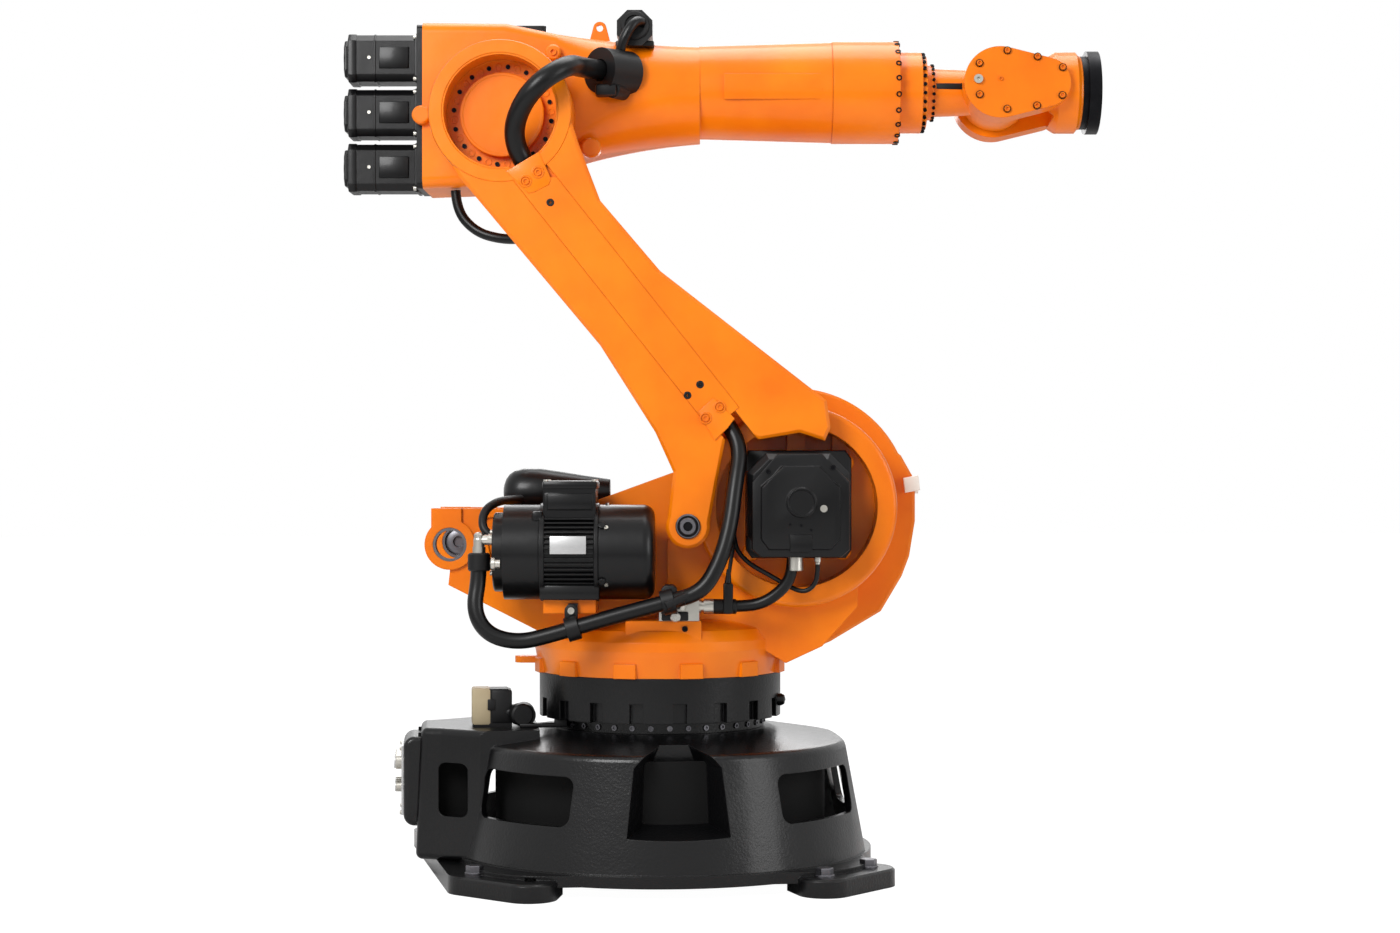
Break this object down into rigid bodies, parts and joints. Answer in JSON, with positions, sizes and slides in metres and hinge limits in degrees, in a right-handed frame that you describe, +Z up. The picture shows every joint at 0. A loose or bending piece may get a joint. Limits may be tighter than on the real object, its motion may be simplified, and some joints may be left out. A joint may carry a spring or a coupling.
{
  "type": "industrial robot arm",
  "caption": "Floor-standing six-axis industrial robot arm with a cast base, leaning link arm, forearm with rear motors, hoses and a round tool flange.",
  "frame": {"origin": "on the floor at the centre of the base, on the turntable's axis", "axes": "+Z up along the turntable's axis, +X towards the front of the base, +Y to its left; the arm points 6 degrees to the right of +X"},
  "size_m": [1.8279, 1.034, 2.061],
  "materials": {
    "black_paint": "textured black paint on castings",
    "black_plastic": "moulded black plastic",
    "hose_rubber": "matt black corrugated hose",
    "machined_black": "black oxide on machined steel",
    "motor_black": "satin black paint on motor housings",
    "orange": "satin orange paint on castings",
    "steel": "turned steel",
    "white_plastic": "moulded white plastic"
  },
  "bodies": {
    "base": {"base_frame": "black_paint", "bearing_ring": "black_paint", "connection_box": "black_plastic", "socket_panel": "steel", "plug_housing": "black_plastic", "base_gland": "black_plastic"},
    "column": {"gear_collar": "black_paint", "rotating_column": "orange", "shoulder_gear": "steel", "shoulder_motor": "motor_black", "stop_bumper": "white_plastic", "counterbalance_cylinder": "motor_black", "accumulator": "motor_black", "fan_motor": "motor_black", "fan_motor_end": "motor_black", "fan_motor_cowl": "black_plastic", "fan_motor_bracket": "orange", "motor_fittings": "steel", "connector_block": "motor_black", "hose_clip_rear": "steel", "hose_clip_front": "steel", "motor_hose": "hose_rubber", "shoulder_hose": "hose_rubber", "power_lead": "hose_rubber"},
    "link": {"link_arm": "orange", "arm_cover_strip": "orange", "elbow_cover": "orange", "counterbalance_pin": "machined_black", "elbow_hose": "hose_rubber", "rear_hose": "hose_rubber"},
    "forearm": {"forearm_casting": "orange", "motor_adapter": "orange", "wrist_motor_upper": "motor_black", "wrist_motor_middle": "motor_black", "wrist_motor_lower": "motor_black", "elbow_motor": "motor_black", "elbow_motor_box": "motor_black", "lifting_lug": "orange", "cable_box": "black_plastic", "hose_gland": "black_plastic", "wrist_drum": "orange"},
    "wrist": {"wrist_gear": "orange", "wrist_neck": "orange"},
    "hand": {"wrist_head": "orange"},
    "flange": {"tool_flange": "machined_black"}
  },
  "joints": [
    {"name": "turntable", "type": "hinge", "parent": "base", "child": "column", "pos_m": [0, 0, 0.35], "axis": [0, 0, 1], "range_deg": [-185, 185]},
    {"name": "shoulder", "type": "hinge", "parent": "column", "child": "link", "pos_m": [0.32222, -0.03387, 0.877], "axis": [0.1045, 0.9945, 0], "range_deg": [-13, 122], "deforming": ["shoulder_hose"]},
    {"name": "elbow", "type": "hinge", "parent": "link", "child": "forearm", "pos_m": [-0.36511, 0.03837, 1.79615], "axis": [-0.1045, -0.9945, 0], "range_deg": [-28, 247], "deforming": ["elbow_hose", "rear_hose"]},
    {"name": "wrist_turn", "type": "hinge", "parent": "forearm", "child": "wrist", "pos_m": [0.57272, -0.06019, 1.87816], "axis": [0.9945, -0.1045, 0], "range_deg": [-350, 350]},
    {"name": "wrist_bend", "type": "hinge", "parent": "wrist", "child": "hand", "pos_m": [0.81041, -0.08518, 1.87816], "axis": [0.1041, 0.9901, -0.0941], "range_deg": [-120, 120]},
    {"name": "flange_turn", "type": "hinge", "parent": "hand", "child": "flange", "pos_m": [1.05407, -0.11079, 1.87816], "axis": [0.9945, -0.1045, 0], "range_deg": [-350, 350]}
  ]
}
